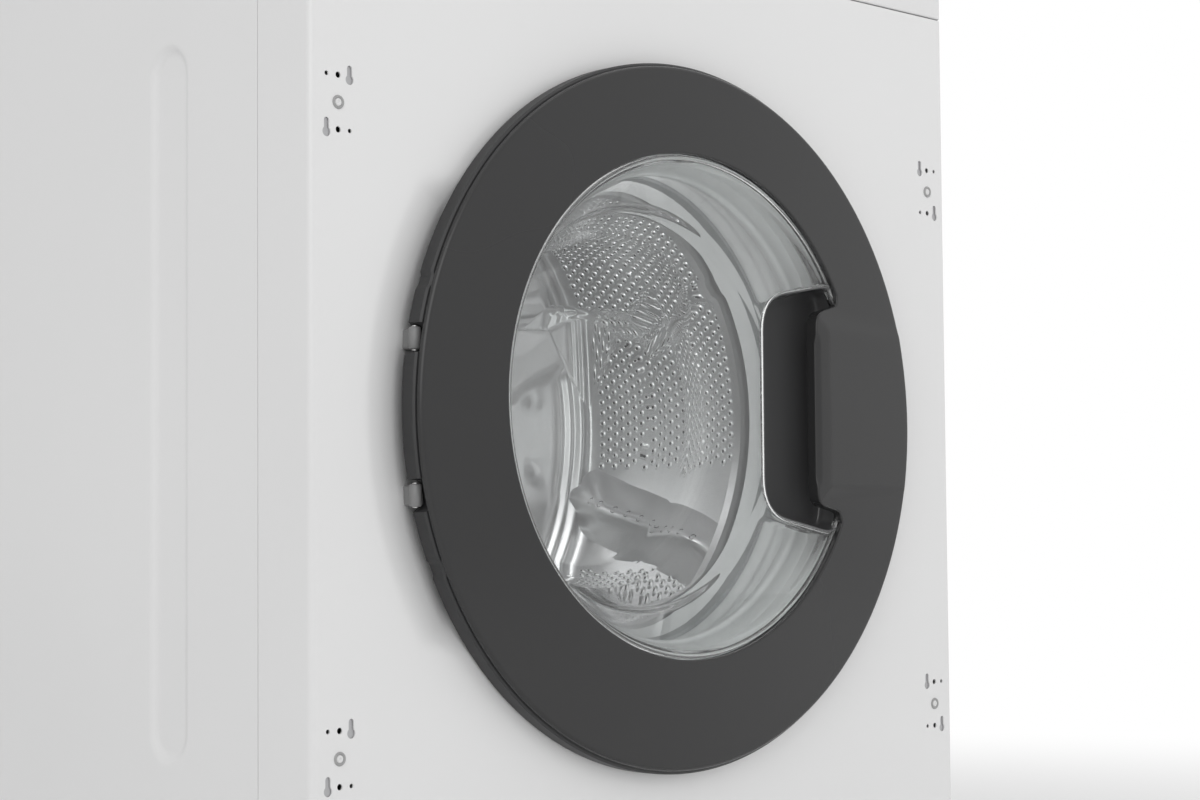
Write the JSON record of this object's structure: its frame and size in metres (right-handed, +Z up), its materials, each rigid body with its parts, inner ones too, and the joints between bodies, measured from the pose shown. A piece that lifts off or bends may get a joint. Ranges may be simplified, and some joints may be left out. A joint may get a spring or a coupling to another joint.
{
  "type": "integrated washer dryer",
  "caption": "Integrated front-loading washer dryer with a round glass door hinged on the left, a handle pocket, a drum and an inner drive.",
  "frame": {"origin": "on the floor, under the middle of the machine's bounding box", "axes": "+Z up, the door faces -Y, +X to the machine's right as seen from the front"},
  "size_m": [0.595, 0.56, 0.818],
  "materials": {
    "cabinet_white": "smooth white enamel",
    "white_plastic": "satin white moulding",
    "galvanised_steel": "galvanised sheet",
    "dark_plastic": "fine grain",
    "black_gloss": "dark grey gloss",
    "seal_rubber": "soft grey rubber",
    "black_rubber": "black rubber",
    "spring_steel": "zinc-plated steel",
    "tub_plastic": "filled polypropylene",
    "concrete": "cast concrete",
    "motor_paint": "stamped steel, painted",
    "valve_plastic": "moulded nylon",
    "cast_aluminium": "as cast",
    "board_green": "coated circuit board",
    "stainless_drum": "polished stainless sheet",
    "clear_screen": "clear polished",
    "door_glass": "clear pressed glass",
    "smoke_plastic": "smoked translucent moulding",
    "silver_plastic": "satin silver"
  },
  "bodies": {
    "cabinet": {"left_side_panel": "cabinet_white", "right_side_panel": "cabinet_white", "rear_panel": "galvanised_steel", "top_cover": "cabinet_white", "base_tray": "dark_plastic", "front_panel": "cabinet_white", "control_fascia": "white_plastic", "display_window": "black_gloss", "plinth_panel": "cabinet_white", "door_seal": "seal_rubber", "seal_clamp_ring": "spring_steel", "tub_front": "tub_plastic", "tub_rear": "tub_plastic", "front_counterweight": "concrete", "top_counterweight": "concrete", "suspension_springs": "spring_steel", "damper_tubes": "dark_plastic", "damper_rods": "spring_steel", "heating_element": "spring_steel", "drum_bearings": "spring_steel", "motor_body": "motor_paint", "pump_body": "tub_plastic", "sump_hose": "black_rubber", "drain_outlet": "tub_plastic", "inlet_valve": "valve_plastic", "fill_hose": "black_rubber", "dispenser_housing": "white_plastic", "dryer_duct": "cast_aluminium", "condenser_duct": "tub_plastic", "door_lock": "dark_plastic", "control_board": "board_green", "hinge_bracket": "spring_steel", "panel_screws": "spring_steel", "drive_belt": "black_rubber", "cable_gland": "black_rubber"},
    "door": {"door_ring": "black_gloss", "door_back_frame": "dark_plastic", "door_screen": "clear_screen", "door_glass": "door_glass", "handle_pocket": "smoke_plastic", "hinge_pins": "spring_steel"},
    "latch": {"latch_hook": "spring_steel"},
    "drum": {"drum_shell": "stainless_drum", "drum_lifters": "stainless_drum", "drum_spider": "cast_aluminium", "drum_pulley": "cast_aluminium"},
    "motor_rotor": {"motor_pulley": "spring_steel"},
    "drawer": {"drawer_tray": "white_plastic", "drawer_front": "white_plastic"},
    "programme_knob": {"program_knob": "silver_plastic"},
    "start": {"start_button": "silver_plastic"},
    "spin": {"spin_button": "silver_plastic"},
    "dry": {"dry_button": "silver_plastic"},
    "flap": {"filter_flap": "cabinet_white"},
    "filter": {"filter_cap": "dark_plastic"},
    "fan": {"fan_impeller": "cast_aluminium"},
    "foot_front_left": {"front_left_foot": "dark_plastic"},
    "foot_front_right": {"front_right_foot": "dark_plastic"},
    "foot_rear_left": {"rear_left_foot": "dark_plastic"},
    "foot_rear_right": {"rear_right_foot": "dark_plastic"}
  },
  "joints": [
    {"name": "door_hinge", "type": "hinge", "parent": "cabinet", "child": "door", "pos_m": [-0.224, -0.258, 0.4], "axis": [0, 0, -1], "range_deg": [0, 115]},
    {"name": "latch_turn", "type": "hinge", "parent": "door", "child": "latch", "pos_m": [0.198, -0.26, 0.4], "axis": [0, 0, 1], "range_deg": [0, 10], "stiffness_Nm_per_rad": 0.4},
    {"name": "drum_spin", "type": "hinge", "parent": "cabinet", "child": "drum", "pos_m": [0, 0.197, 0.4], "axis": [0, 1, 0], "continuous": true},
    {"name": "motor_spin", "type": "hinge", "parent": "cabinet", "child": "motor_rotor", "pos_m": [0.13, 0.197, 0.098], "axis": [0, 1, 0], "continuous": true},
    {"name": "drawer_slide", "type": "slide", "parent": "cabinet", "child": "drawer", "axis": [0, -1, 0], "range_m": [0, 0.18]},
    {"name": "knob_turn", "type": "hinge", "parent": "cabinet", "child": "programme_knob", "pos_m": [-0.045, -0.263, 0.757], "axis": [0, -1, 0], "continuous": true},
    {"name": "start_press", "type": "slide", "parent": "cabinet", "child": "start", "axis": [0, 1, 0], "range_m": [0, 0.0015], "stiffness_N_per_m": 600},
    {"name": "spin_press", "type": "slide", "parent": "cabinet", "child": "spin", "axis": [0, 1, 0], "range_m": [0, 0.0015], "stiffness_N_per_m": 600},
    {"name": "dry_press", "type": "slide", "parent": "cabinet", "child": "dry", "axis": [0, 1, 0], "range_m": [0, 0.0015], "stiffness_N_per_m": 600},
    {"name": "flap_turn", "type": "hinge", "parent": "cabinet", "child": "flap", "pos_m": [0.19, -0.1934, 0.032], "axis": [1, 0, 0], "range_deg": [0, 90]},
    {"name": "filter_turn", "type": "hinge", "parent": "cabinet", "child": "filter", "pos_m": [0.19, -0.183, 0.064], "axis": [0, -1, 0], "range_deg": [0, 90]},
    {"name": "fan_spin", "type": "hinge", "parent": "cabinet", "child": "fan", "pos_m": [0.19, 0.167, 0.72], "axis": [0, 0, 1], "continuous": true},
    {"name": "front_left_foot_screw", "type": "slide", "parent": "cabinet", "child": "foot_front_left", "axis": [0, 0, -1], "range_m": [0, 0.02]},
    {"name": "front_right_foot_screw", "type": "slide", "parent": "cabinet", "child": "foot_front_right", "axis": [0, 0, -1], "range_m": [0, 0.02]},
    {"name": "rear_left_foot_screw", "type": "slide", "parent": "cabinet", "child": "foot_rear_left", "axis": [0, 0, -1], "range_m": [0, 0.02]},
    {"name": "rear_right_foot_screw", "type": "slide", "parent": "cabinet", "child": "foot_rear_right", "axis": [0, 0, -1], "range_m": [0, 0.02]}
  ],
  "couplings": [
    {"joint": "motor_spin", "follows": "drum_spin", "ratio": 14.5}
  ]
}
